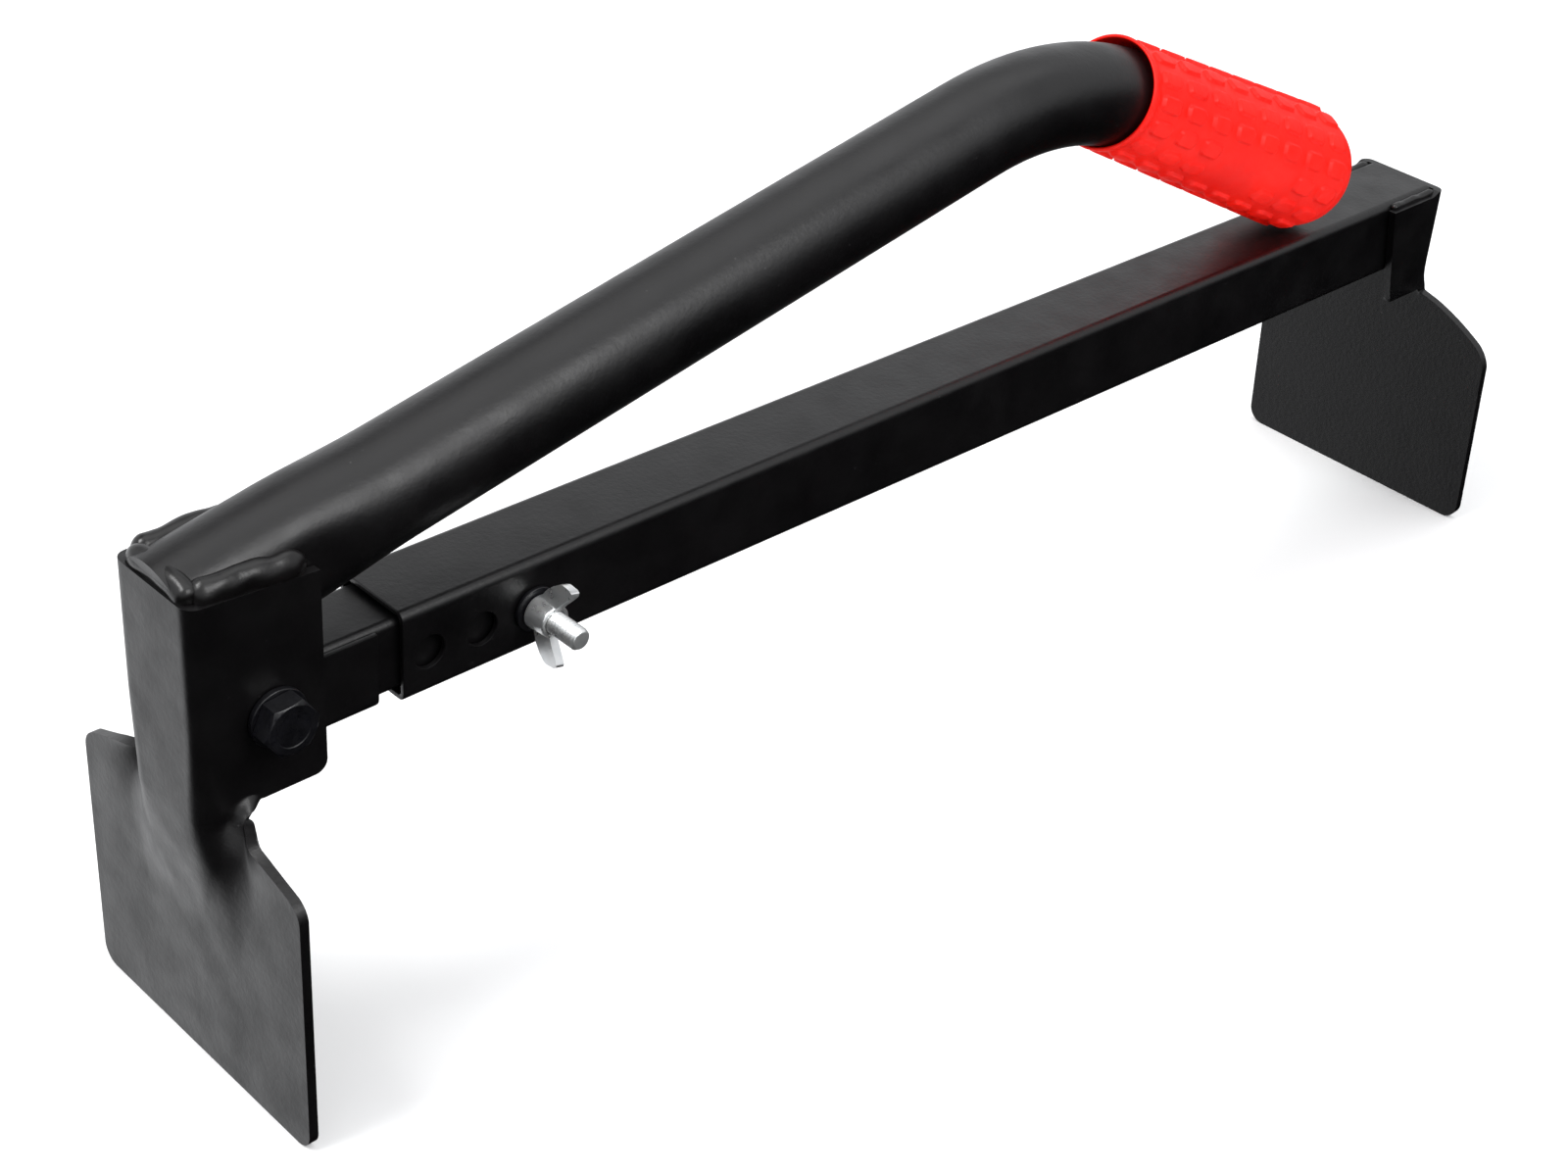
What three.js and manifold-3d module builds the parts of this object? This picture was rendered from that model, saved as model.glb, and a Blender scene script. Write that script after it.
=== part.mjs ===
// Adjustable brick carrying tong: a telescoping square bar with a fixed jaw at one end and, at
// the other, a swinging jaw whose long handle grips the row of bricks harder the more it lifts.
// Millimetres, +Z up. +X runs from the swinging jaw to the fixed jaw. The origin is on the
// ground, under the middle of the tong, with both blades standing on their lower edges.
import * as THREE from 'three';
import { mergeVertices } from 'three/addons/utils/BufferGeometryUtils.js';
import Module from 'manifold-3d';

// ---- driving dimensions ------------------------------------------------------------------
const GAP = 0.3;                 // clearance between neighbouring pieces
const SHEET = 2.5;               // pressed steel of both jaws

const TUBE = 25;                 // outer square tube, across its flats
const TUBE_CORNER = 2.5;
const TUBE_WALL = 1.5;
const TUBE_LENGTH = 405.5;

const BAR = 20;                  // inner square bar
const BAR_CORNER = 2;
const BAR_WALL = 1.5;
const BAR_START = -46;           // end beyond the pivot
const BAR_END = 360;             // end hidden inside the outer tube

const LOCK_HOLE = 9;             // row of holes near the mouth of the outer tube
const LOCK_HOLE_FIRST = 7.5;
const LOCK_HOLE_PITCH = 15.5;
const LOCK_HOLES = 3;
const LOCK_Z = -0.8;
const TRAVEL = 250;              // how far the inner bar can be drawn out
const CLOSING = 6;               // how far it can still be pushed in from rest
const SLOT_WIDTH = 7;            // slot in the inner bar for the lock bolt

const PIVOT_X = -37;
const PIVOT_Z = 2.3;
const PIVOT_HOLE = 8.6;

const BLADE_DROP = 100.5;        // centre of the tube down to the blades' lower edges
const BLADE_HALF = 45;

const HANDLE_RADIUS = 14;
const HANDLE_WALL = 1.5;
const HANDLE_START = -53.4;      // cut end of the handle tube, behind the web of the jaw
const HANDLE_Z0 = 39.3;          // height of the handle's axis over the mouth of the tube
const HANDLE_TILT = 12;          // degrees, long straight part
const GRIP_TILT = -26;           // degrees, grip part
const BEND_X = 227.6;            // where the two straight axes meet
const BEND_RADIUS = 102;
const SQUEEZED_HALF = 12.2;      // the tube's end is pressed flat to fit between the flanges
const SQUEEZED_END = -21.5;

const GRIP_X = 330;              // reference point on the grip's axis, t = 0
const GRIP_MOUTH = -92;
const GRIP_SHOULDER = 10;
const GRIP_TIP = 31;
const GRIP_RADIUS_MOUTH = 16.2;
const GRIP_RADIUS = 19.5;

const LOCK_X = LOCK_HOLE_FIRST + LOCK_HOLE_PITCH * (LOCK_HOLES - 1);
const DEG = Math.PI / 180;

// ---- materials ---------------------------------------------------------------------------
const BLACK_COAT = { color: 0x1a191b, roughness: 0.45, metalness: 0.1 };
const BLACK_WELD = { color: 0x151416, roughness: 0.5, metalness: 0.1 };
const BLACK_BOLT = { color: 0x101012, roughness: 0.35, metalness: 0.6 };
const ZINC = { color: 0xc9ced1, roughness: 0.25, metalness: 1 };
const RED_VINYL = { color: 0xe8201a, roughness: 0.45, metalness: 0 };
const NYLON = { color: 0x30405c, roughness: 0.5, metalness: 0 };

// ---- solids ------------------------------------------------------------------------------
const wasm = await Module();
wasm.setup();

function solid(geometry) {
  const bare = geometry.clone();
  for (const name of Object.keys(bare.attributes)) {
    if (name !== 'position') bare.deleteAttribute(name);
  }
  const merged = mergeVertices(bare, 1e-4);
  return new wasm.Manifold(new wasm.Mesh({
    numProp: 3,
    vertProperties: new Float32Array(merged.attributes.position.array),
    triVerts: new Uint32Array(merged.index.array),
  }));
}

function geometryOf(shape) {
  const mesh = shape.getMesh();
  const geometry = new THREE.BufferGeometry();
  geometry.setAttribute('position', new THREE.BufferAttribute(mesh.vertProperties, 3));
  geometry.setIndex(new THREE.BufferAttribute(mesh.triVerts, 1));
  geometry.computeVertexNormals();
  return geometry;
}

const tong = new THREE.Group();
tong.position.z = BLADE_DROP;

function add(name, shape, look) {
  const geometry = shape.isBufferGeometry ? shape : geometryOf(shape);
  const mesh = new THREE.Mesh(geometry, new THREE.MeshStandardMaterial(look));
  mesh.name = name;
  tong.add(mesh);
}

function block(x0, x1, y0, y1, z0, z1) {
  const box = new THREE.BoxGeometry(x1 - x0, y1 - y0, z1 - z0);
  box.translate((x0 + x1) / 2, (y0 + y1) / 2, (z0 + z1) / 2);
  return solid(box);
}

// a cylinder along Y between two places, about the point x, z
function crossPin(radius, x, z, y0, y1, sides = 24) {
  const pin = new THREE.CylinderGeometry(radius, radius, y1 - y0, sides);
  pin.translate(x, (y0 + y1) / 2, z);
  return solid(pin);
}

function crossRing(outer, inner, x, z, y0, y1, sides = 24) {
  return crossPin(outer, x, z, y0, y1, sides).subtract(crossPin(inner, x, z, y0 - 1, y1 + 1, sides));
}

// a hexagon prism along Y; turn is the angle of its first corner
function crossHex(acrossFlats, x, z, y0, y1, turn) {
  const radius = acrossFlats / Math.sqrt(3);
  const hex = new THREE.CylinderGeometry(radius, radius, y1 - y0, 6);
  hex.rotateY((90 + turn) * DEG);
  hex.translate(x, (y0 + y1) / 2, z);
  return solid(hex);
}

function outline(corners) {
  const shape = new THREE.Shape();
  shape.moveTo(...corners[0]);
  for (const corner of corners.slice(1)) shape.lineTo(...corner);
  shape.closePath();
  return shape;
}

function roundedSquare(half, radius) {
  const points = [];
  for (const [cornerY, cornerZ, start] of [[1, 1, 0], [-1, 1, 90], [-1, -1, 180], [1, -1, 270]]) {
    for (let step = 0; step <= 3; step += 1) {
      const angle = (start + step * 30) * DEG;
      points.push([
        cornerY * (half - radius) + radius * Math.cos(angle),
        cornerZ * (half - radius) + radius * Math.sin(angle),
      ]);
    }
  }
  return points;
}

// a section drawn in Y and Z, extruded along X
function along(corners, x0, x1) {
  const bar = new THREE.ExtrudeGeometry(outline(corners), { depth: x1 - x0, bevelEnabled: false });
  bar.rotateY(90 * DEG);
  bar.rotateX(90 * DEG);
  bar.translate(x0, 0, 0);
  return solid(bar);
}

// a side view drawn in X and Z, extruded along Y
function across(corners, y0, y1) {
  const plate = new THREE.ExtrudeGeometry(outline(corners), { depth: y1 - y0, bevelEnabled: false });
  plate.rotateX(90 * DEG);
  plate.translate(0, y1, 0);
  return solid(plate);
}

// a plan drawn in X and Y, extruded along Z
function upright(corners, z0, z1) {
  const post = new THREE.ExtrudeGeometry(outline(corners), { depth: z1 - z0, bevelEnabled: false });
  post.translate(0, 0, z0);
  return solid(post);
}

function squareTube(size, corner, wall, x0, x1) {
  const skin = along(roundedSquare(size / 2, corner), x0, x1);
  return skin.subtract(along(roundedSquare(size / 2 - wall, Math.max(corner - wall, 0.6)), x0 - 1, x1 + 1));
}

// ---- outer tube and inner bar ------------------------------------------------------------
let outerTube = squareTube(TUBE, TUBE_CORNER, TUBE_WALL, 0, TUBE_LENGTH);
for (let hole = 0; hole < LOCK_HOLES; hole += 1) {
  const x = LOCK_HOLE_FIRST + hole * LOCK_HOLE_PITCH;
  outerTube = outerTube.subtract(crossPin(LOCK_HOLE / 2, x, LOCK_Z, -20, 20, 20));
}
add('outer_tube', outerTube, BLACK_COAT);

const slotHalf = SLOT_WIDTH / 2;
const slotStart = LOCK_X - CLOSING - 1;
const slotEnd = LOCK_X + TRAVEL + 1;
const slot = block(slotStart, slotEnd, -15, 15, LOCK_Z - slotHalf, LOCK_Z + slotHalf)
  .add(crossPin(slotHalf, slotStart, LOCK_Z, -15, 15, 16))
  .add(crossPin(slotHalf, slotEnd, LOCK_Z, -15, 15, 16));
const pivotBore = crossPin(PIVOT_HOLE / 2, PIVOT_X, PIVOT_Z, -30, 30, 20);
add('inner_bar', squareTube(BAR, BAR_CORNER, BAR_WALL, BAR_START, BAR_END).subtract(slot)
  .subtract(pivotBore), BLACK_COAT);

// a folded strap round the end of the bar: it widens the bar to the jaw and stops it at the tube
const SADDLE_END = -6.3;
const SADDLE_IN = BAR / 2 + GAP;
const SADDLE_OUT = SADDLE_IN + 1.3;
const SADDLE_TOP = 9.3;
const saddleBend = [
  [-SADDLE_OUT, SADDLE_TOP], [-SADDLE_OUT, -SADDLE_OUT + 2], [-SADDLE_OUT + 0.6, -SADDLE_OUT + 0.6],
  [-SADDLE_OUT + 2, -SADDLE_OUT],
];
const saddleInside = [
  [-SADDLE_IN, SADDLE_TOP], [-SADDLE_IN, -SADDLE_IN + 0.7], [-SADDLE_IN + 0.7, -SADDLE_IN],
];
const mirrored = (points) => points.map(([y, z]) => [-y, z]).reverse();
const saddleSection = [
  ...saddleBend, ...mirrored(saddleBend), ...mirrored(saddleInside).reverse(), ...saddleInside.reverse(),
];
add('pivot_saddle', along(saddleSection, BAR_START, SADDLE_END).subtract(pivotBore), BLACK_COAT);

const sleeveHalf = BAR / 2 - BAR_WALL - GAP;
add('pivot_sleeve', crossRing(6, PIVOT_HOLE / 2, PIVOT_X, PIVOT_Z, -sleeveHalf, sleeveHalf), ZINC);

// ---- pressed jaws ------------------------------------------------------------------------
const ease = (value) => {
  const clamped = Math.min(Math.max(value, 0), 1);
  return clamped * clamped * (3 - 2 * clamped);
};

// Half of a jaw's section at height z, from the middle of the web to the tip of the wing, as
// points of the sheet's middle: inward is the distance from the web's place towards the bricks.
function jawSection(jaw, z) {
  const below = jaw.neck - z;
  const blade = jaw.proud + Math.tan(jaw.lean * DEG) * below;
  const web = blade * ease(below / jaw.fade);
  const flare = jaw.flare * (1 - ease(below / jaw.flareLength));
  const depth = Math.max(blade + flare - web, 0.02);
  const share = Math.min(depth / (jaw.proud + jaw.flare), 1);
  const turn = 90 * DEG * Math.sqrt(share);
  const round = 0.9 * depth / (1 - Math.cos(turn));
  const corner = Math.min(jaw.corner, 0.4 * round);
  const bend = Math.min(jaw.bend, 0.6 * round);
  const wall = (depth - (corner + bend) * (1 - Math.cos(turn))) / Math.sin(turn);
  const foldY = Math.max(jaw.half * (1 - 0.9 * (below / jaw.fade) ** 2), 2);
  const tip = jaw.tip(z);
  const points = [];
  let inward = web;
  let y = foldY - corner * Math.tan(turn / 2);
  for (const part of [0, 0.5, 1]) points.push([inward, y * part]);
  for (let step = 1; step <= 3; step += 1) {
    const angle = turn * step / 3;
    points.push([inward + corner * (1 - Math.cos(angle)), y + corner * Math.sin(angle)]);
  }
  inward += corner * (1 - Math.cos(turn)) + wall * Math.sin(turn);
  y += corner * Math.sin(turn) + wall * Math.cos(turn);
  points.push([inward, y]);
  for (let step = 1; step <= 3; step += 1) {
    const angle = turn * (1 - step / 3);
    points.push([
      inward + bend * (Math.cos(angle) - Math.cos(turn)),
      y + bend * (Math.sin(turn) - Math.sin(angle)),
    ]);
  }
  inward += bend * (1 - Math.cos(turn));
  y += bend * Math.sin(turn);
  for (const part of [0.15, 0.35, 0.6, 1]) {
    const place = y + (tip - y) * part;
    points.push([blade + (inward - blade) * (1 - ease((place - y) / jaw.settle)), place]);
  }
  return points;
}

// closed loop round the sheet at one height: its outer side, then back along its brick side
function jawLoop(jaw, z) {
  const half = jawSection(jaw, z);
  const middle = [...half.slice(1).reverse().map(([inward, y]) => [inward, -y]), ...half];
  const sides = [[], []];
  middle.forEach(([inward, y], index) => {
    const before = middle[Math.max(index - 1, 0)];
    const after = middle[Math.min(index + 1, middle.length - 1)];
    const length = Math.hypot(after[0] - before[0], after[1] - before[1]);
    const normal = [(after[1] - before[1]) / length, -(after[0] - before[0]) / length];
    for (const [side, sign] of [[0, -1], [1, 1]]) {
      sides[side].push([
        inward + sign * normal[0] * SHEET / 2,
        y + sign * normal[1] * SHEET / 2,
      ]);
    }
  });
  const loop = [...sides[0], ...sides[1].reverse()];
  return loop.map(([inward, y]) => [jaw.x + jaw.facing * (inward + SHEET / 2), y, z]);
}

function loft(loops) {
  const count = loops[0].length;
  const triangles = [];
  for (let row = 0; row + 1 < loops.length; row += 1) {
    for (let k = 0; k < count; k += 1) {
      const next = (k + 1) % count;
      const [a, b, c, d] = [loops[row][k], loops[row][next], loops[row + 1][next], loops[row + 1][k]];
      triangles.push(a, b, c, a, c, d);
    }
  }
  // the loop's two sides face each other, so both ends close with a strip between them
  for (const [ring, flip] of [[loops[0], true], [loops[loops.length - 1], false]]) {
    for (let k = 0; k + 1 < count / 2; k += 1) {
      const quad = [ring[k], ring[k + 1], ring[count - 2 - k], ring[count - 1 - k]];
      const order = flip ? [0, 2, 1, 0, 3, 2] : [0, 1, 2, 0, 2, 3];
      triangles.push(...order.map((corner) => quad[corner]));
    }
  }
  const geometry = new THREE.BufferGeometry();
  geometry.setAttribute('position', new THREE.BufferAttribute(new Float32Array(triangles.flat()), 3));
  const shape = solid(geometry);
  if (shape.volume() > 0) return shape;
  const position = geometry.attributes.position;
  for (let k = 0; k < position.count; k += 3) {
    const [x, y, z] = [position.getX(k), position.getY(k), position.getZ(k)];
    position.setXYZ(k, position.getX(k + 1), position.getY(k + 1), position.getZ(k + 1));
    position.setXYZ(k + 1, x, y, z);
  }
  return solid(geometry);
}

// half width of a blade at height z: sloping shoulder, straight side, rounded lower corner
function bladeTip(shoulder) {
  return (z) => {
    const [inY, inZ, outY, outZ] = shoulder;
    if (z > outZ) return inY + (outY - inY) * Math.min(Math.max((inZ - z) / (inZ - outZ), 0), 1);
    if (z > outZ - 3) return outY + (BLADE_HALF - outY) * Math.sin((outZ - z) / 3 * 90 * DEG);
    const low = -BLADE_DROP + 5 - z;
    return low > 0 ? BLADE_HALF - 5 + Math.sqrt(Math.max(25 - low * low, 0)) : BLADE_HALF;
  };
}

function pressedBlade(jaw) {
  const heights = [
    jaw.neck, jaw.neck - 1.5, jaw.neck - 3.5, jaw.shoulder[3], jaw.shoulder[3] - 1.5,
    jaw.shoulder[3] - 3, -37, -41, -46, -52, -60, -78, -BLADE_DROP + 5, -BLADE_DROP + 3,
    -BLADE_DROP + 1.2, -BLADE_DROP + 0.3, -BLADE_DROP,
  ];
  return loft(heights.map((z) => jawLoop(jaw, z)));
}

// the channel above the blade, seen from above: a web with two flanges
function channelPlan(jaw, inner, reach, outsideBend, insideBend) {
  const half = inner + SHEET;
  const bendSteps = [0, 22.5, 45, 67.5, 90];
  const outside = bendSteps.map((angle) => [
    outsideBend * (1 - Math.cos(angle * DEG)), half - outsideBend * (1 - Math.sin(angle * DEG)),
  ]);
  const inside = bendSteps.map((angle) => [
    SHEET + insideBend * (1 - Math.cos(angle * DEG)), inner - insideBend * (1 - Math.sin(angle * DEG)),
  ]).reverse();
  const side = [...outside, [reach, half], [reach, inner], ...inside];
  const plan = [...side, ...side.map(([inward, y]) => [inward, -y]).reverse()];
  return plan.map(([inward, y]) => [jaw.x + jaw.facing * inward, y]);
}

const swinging = {
  x: -57.5, facing: 1, neck: -22, half: 13.85, corner: 2.6, bend: 3, proud: 5.1, fade: 40,
  lean: 0, flare: 7.2, flareLength: 14, settle: 10, shoulder: [17.5, -22, 43, -28.8],
};
swinging.tip = bladeTip(swinging.shoulder);
// the fixed jaw's blade is flat and leans away from the bricks towards its foot
const fixed = { x: 408.3, facing: -1, bendZ: -14, footX: 414.5 };

const SWING_INNER = 12.6;
const SWING_TOP = 37.5;
const SWING_EDGE = -23.6;
const earCorner = [0, 30, 60, 90].map((angle) => [
  SWING_EDGE - 3.3 + 3.3 * Math.cos(angle * DEG), -16 - 3.3 * Math.sin(angle * DEG),
]);
const swingProfile = [
  [-60, SWING_TOP], [-57.5, SWING_TOP], [SWING_EDGE, 35.5], ...earCorner,
  [-41, -19.3], [-43.5, -20.3], [-44.5, -22.5], [-49, -24], [-60, -24],
];
const swingChannel = upright(channelPlan(swinging, SWING_INNER, 34, 3.6, 1.1), -24, 40)
  .intersect(across(swingProfile.reverse(), -20, 20));
const swingJaw = swingChannel.add(pressedBlade(swinging)).subtract(pivotBore);
add('swing_jaw', swingJaw, BLACK_COAT);

const FIXED_INNER = TUBE / 2 + GAP;
const FIXED_TOP = 10.8;
const fixedProfile = [
  [410, -24.5], [404, -24.5], [403, -22.5], [387.4, -22.5], [380.8, FIXED_TOP],
  [405, FIXED_TOP], [405, 12.3], [410, 12.3],
];
const fixedChannel = upright(channelPlan(fixed, FIXED_INNER, 28, 2.7, 0.2), -24.5, 14)
  .intersect(across(fixedProfile, -20, 20));
const bladeSide = [
  [fixed.x - SHEET, fixed.bendZ], [fixed.footX - SHEET, -BLADE_DROP], [fixed.footX, -BLADE_DROP],
  [fixed.x, fixed.bendZ],
];
// half of the fixed blade's outline, in Y and Z
function bladeOutline(half) {
  const points = [
    [15.2, fixed.bendZ], [15.2, -23], [17, -24.9], [27, -28.2], [half - 3.5, -35], [half - 1, -37], [half, -40],
  ];
  for (const angle of [0, 30, 60, 90]) {
    points.push([half - 5 + 5 * Math.cos(angle * DEG), -BLADE_DROP + 5 - 5 * Math.sin(angle * DEG)]);
  }
  return points;
}
const fixedBlade = across(bladeSide, -50, 50)
  .intersect(along([...bladeOutline(BLADE_HALF), ...mirrored(bladeOutline(BLADE_HALF - 1.6))], 395, 425));
const fixedJaw = fixedChannel.add(fixedBlade);
add('fixed_jaw', fixedJaw, BLACK_COAT);

// ---- handle and grip ---------------------------------------------------------------------
class HandleAxis extends THREE.Curve {
  constructor(start, end) {
    super();
    const bendTangent = BEND_RADIUS * Math.tan((HANDLE_TILT - GRIP_TILT) / 2 * DEG);
    this.start = start;
    this.first = (BEND_X - start) / Math.cos(HANDLE_TILT * DEG) - bendTangent;
    this.arc = BEND_RADIUS * (HANDLE_TILT - GRIP_TILT) * DEG;
    this.last = (end - BEND_X) / Math.cos(GRIP_TILT * DEG) - bendTangent;
    this.total = this.first + this.arc + this.last;
  }

  getPoint(t, target = new THREE.Vector3()) {
    const slope = HANDLE_TILT * DEG;
    const travelled = t * this.total;
    const onFirst = Math.min(travelled, this.first);
    const turned = Math.min(Math.max(travelled - this.first, 0), this.arc) / BEND_RADIUS;
    const onLast = Math.max(travelled - this.first - this.arc, 0);
    const x = this.start + onFirst * Math.cos(slope)
      + BEND_RADIUS * (Math.sin(slope) - Math.sin(slope - turned)) + onLast * Math.cos(GRIP_TILT * DEG);
    const z = handleHeight(this.start) + onFirst * Math.sin(slope)
      + BEND_RADIUS * (Math.cos(slope - turned) - Math.cos(slope)) + onLast * Math.sin(GRIP_TILT * DEG);
    return target.set(x, 0, z);
  }
}

function handleHeight(x) {
  return HANDLE_Z0 + Math.tan(HANDLE_TILT * DEG) * x;
}

function sweptRod(radius, sides, start, end, steps) {
  const section = Array.from({ length: sides }, (_, k) => {
    const angle = (k / sides) * 360 * DEG;
    return [radius * Math.cos(angle), radius * Math.sin(angle)];
  });
  return solid(new THREE.ExtrudeGeometry(outline(section), {
    extrudePath: new HandleAxis(start, end), steps, bevelEnabled: false,
  }));
}

const HANDLE_END = GRIP_X + 21 * Math.cos(GRIP_TILT * DEG);
const handleSkin = sweptRod(HANDLE_RADIUS, 24, HANDLE_START - 12, HANDLE_END, 26);
const handleBore = sweptRod(HANDLE_RADIUS - HANDLE_WALL, 20, SQUEEZED_END + 8, HANDLE_END + 2, 24);
const squeezedBore = sweptRod(HANDLE_RADIUS - 4, 16, HANDLE_START - 14, SQUEEZED_END + 12, 1);
const cheeks = block(HANDLE_START - 20, SQUEEZED_END, SQUEEZED_HALF, 20, 0, 60)
  .add(block(HANDLE_START - 20, SQUEEZED_END, -20, -SQUEEZED_HALF, 0, 60));
const cutEnd = block(-90, HANDLE_START, -20, 20, 0, 60);
const handleTube = handleSkin.subtract(cutEnd).subtract(cheeks).subtract(handleBore).subtract(squeezedBore);
add('handle_tube', handleTube, BLACK_COAT);

// weld beads: round rods of metal cut to the pieces that they join
const handleRoom = sweptRod(HANDLE_RADIUS + GAP, 24, HANDLE_START - 12, 20, 1)
  .subtract(block(-90, HANDLE_START - GAP, -20, 20, 0, 60));
const flangeRoom = [
  [-60, -24], [-60, SWING_TOP + GAP], [-57.5, SWING_TOP + GAP], [SWING_EDGE + GAP, 35.5 + GAP],
  [SWING_EDGE + GAP, -24],
].reverse();
const swingRoom = across(flangeRoom, SWING_INNER - GAP, SWING_INNER + SHEET + GAP)
  .add(across(flangeRoom, -SWING_INNER - SHEET - GAP, -SWING_INNER + GAP))
  .add(across(flangeRoom, -20, 20).intersect(block(-60, -54.7, -20, 20, -24, 60)))
  .add(block(-60, -53, 10, 14, -24, SWING_TOP + GAP)).add(block(-60, -53, -14, -10, -24, SWING_TOP + GAP));

function bead(radius, from, to, sides = 10) {
  const path = new THREE.LineCurve3(new THREE.Vector3(...from), new THREE.Vector3(...to));
  const section = Array.from({ length: sides }, (_, k) => [
    radius * Math.cos((k / sides) * 360 * DEG), radius * Math.sin((k / sides) * 360 * DEG),
  ]);
  return solid(new THREE.ExtrudeGeometry(outline(section), {
    extrudePath: path, steps: 1, bevelEnabled: false,
  }));
}

for (const [name, side] of [['handle_weld_front', -1], ['handle_weld_back', 1]]) {
  const rod = bead(3.3, [-53, side * 12.9, 38.9], [-25, side * 12.9, 37.7]);
  add(name, rod.subtract(handleRoom).subtract(swingRoom), BLACK_WELD);
}
// ends of the arc are closed with discs, so that the bead is one closed body
function closedArc(radius, thickness, degrees, x, z) {
  class Arch extends THREE.Curve {
    getPoint(t, target = new THREE.Vector3()) {
      const angle = (t - 0.5) * degrees * DEG;
      return target.set(x, radius * Math.sin(angle), z + radius * Math.cos(angle));
    }
  }
  const section = Array.from({ length: 10 }, (_, k) => [
    thickness * Math.cos(k * 36 * DEG), thickness * Math.sin(k * 36 * DEG),
  ]);
  return solid(new THREE.ExtrudeGeometry(outline(section), {
    extrudePath: new Arch(), steps: 10, bevelEnabled: false,
  }));
}
const webBead = closedArc(12.7, 2.1, 64, -55.3, handleHeight(-55.3));
add('handle_weld_end', webBead.subtract(handleRoom).subtract(swingRoom), BLACK_WELD);

const tubeRoom = along(roundedSquare(TUBE / 2 + GAP, TUBE_CORNER + GAP), 300, TUBE_LENGTH + GAP);
const fixedRoom = block(370, 412, 12.5, 15.6, -30, FIXED_TOP + GAP)
  .add(block(370, 412, -15.6, -12.5, -30, FIXED_TOP + GAP)).add(block(405, 412, -20, 20, -30, 14));
for (const [name, side] of [['fixed_jaw_weld_front', -1], ['fixed_jaw_weld_back', 1]]) {
  const rod = bead(1.7, [383, side * 13.7, 11.4], [404.2, side * 13.7, 11.4]);
  add(name, rod.subtract(tubeRoom).subtract(fixedRoom), BLACK_WELD);
}

// soft closed sleeve with a domed end, pushed over the end of the handle
function gripGeometry() {
  const bore = HANDLE_RADIUS + GAP;
  const mouthBore = HANDLE_RADIUS + 1.3;
  const profile = [
    [0, 22.5], [bore, 22.5], [bore, GRIP_MOUTH + 12], [mouthBore, GRIP_MOUTH + 8],
    [mouthBore, GRIP_MOUTH], [GRIP_RADIUS_MOUTH, GRIP_MOUTH], [GRIP_RADIUS, GRIP_SHOULDER],
  ];
  for (const part of [0.35, 0.6, 0.8, 0.93]) {
    profile.push([
      GRIP_RADIUS * (1 - part ** 2.5) ** 0.4,
      GRIP_SHOULDER + (GRIP_TIP - GRIP_SHOULDER) * part,
    ]);
  }
  profile.push([0, GRIP_TIP]);
  const lathe = new THREE.LatheGeometry(profile.map(([r, t]) => new THREE.Vector2(r, t)), 28);
  lathe.rotateZ(-90 * DEG);
  lathe.rotateY(-GRIP_TILT * DEG);
  const slope = Math.tan(GRIP_TILT * DEG);
  lathe.translate(GRIP_X, 0, handleHeight(BEND_X) + slope * (GRIP_X - BEND_X));
  return solid(lathe);
}
add('handle_grip', gripGeometry(), RED_VINYL);

// ---- pivot: hexagon bolt M8 with a locking nut --------------------------------------------
const CHANNEL_FACE = SWING_INNER + SHEET;
const washerIn = CHANNEL_FACE + GAP;
const washerOut = washerIn + 1.6;
const headIn = washerOut + GAP;
add('pivot_bolt', crossHex(13, PIVOT_X, PIVOT_Z, -headIn - 5.3, -headIn, 6)
  .add(crossPin(4, PIVOT_X, PIVOT_Z, -headIn - 1, 27.5)), BLACK_BOLT);
add('pivot_washer_front', crossRing(7.5, 4.3, PIVOT_X, PIVOT_Z, -washerOut, -washerIn), BLACK_BOLT);
add('pivot_washer_back', crossRing(7.5, 4.3, PIVOT_X, PIVOT_Z, washerIn, washerOut), BLACK_BOLT);
const nutBore = crossPin(4.3, PIVOT_X, PIVOT_Z, 10, 30);
const insertSeat = crossPin(5.3, PIVOT_X, PIVOT_Z, headIn + 6, headIn + 7.4);
add('pivot_nut', crossHex(13, PIVOT_X, PIVOT_Z, headIn, headIn + 6.4, 20)
  .add(crossPin(6, PIVOT_X, PIVOT_Z, headIn + 6, headIn + 8))
  .subtract(insertSeat).subtract(nutBore), BLACK_BOLT);
add('pivot_nut_insert', crossRing(5, 4.3, PIVOT_X, PIVOT_Z, headIn + 6.3, headIn + 7.1), NYLON);

// ---- lock: M6 bolt through tube and slotted bar, with a wing nut ----------------------------
const FACE = TUBE / 2;
const backIn = FACE + GAP;
const backOut = backIn + 1.2;
add('lock_bolt', crossHex(10, LOCK_X, LOCK_Z, backOut + GAP, backOut + GAP + 4, 10)
  .add(crossPin(3, LOCK_X, LOCK_Z, backOut + GAP - 45, backOut + GAP + 1)), ZINC);
add('lock_bolt_washer', crossRing(7, 3.3, LOCK_X, LOCK_Z, backIn, backOut), ZINC);
add('clamp_washer', crossRing(6, 3.3, LOCK_X, LOCK_Z, -backOut, -backIn), BLACK_BOLT);

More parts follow.
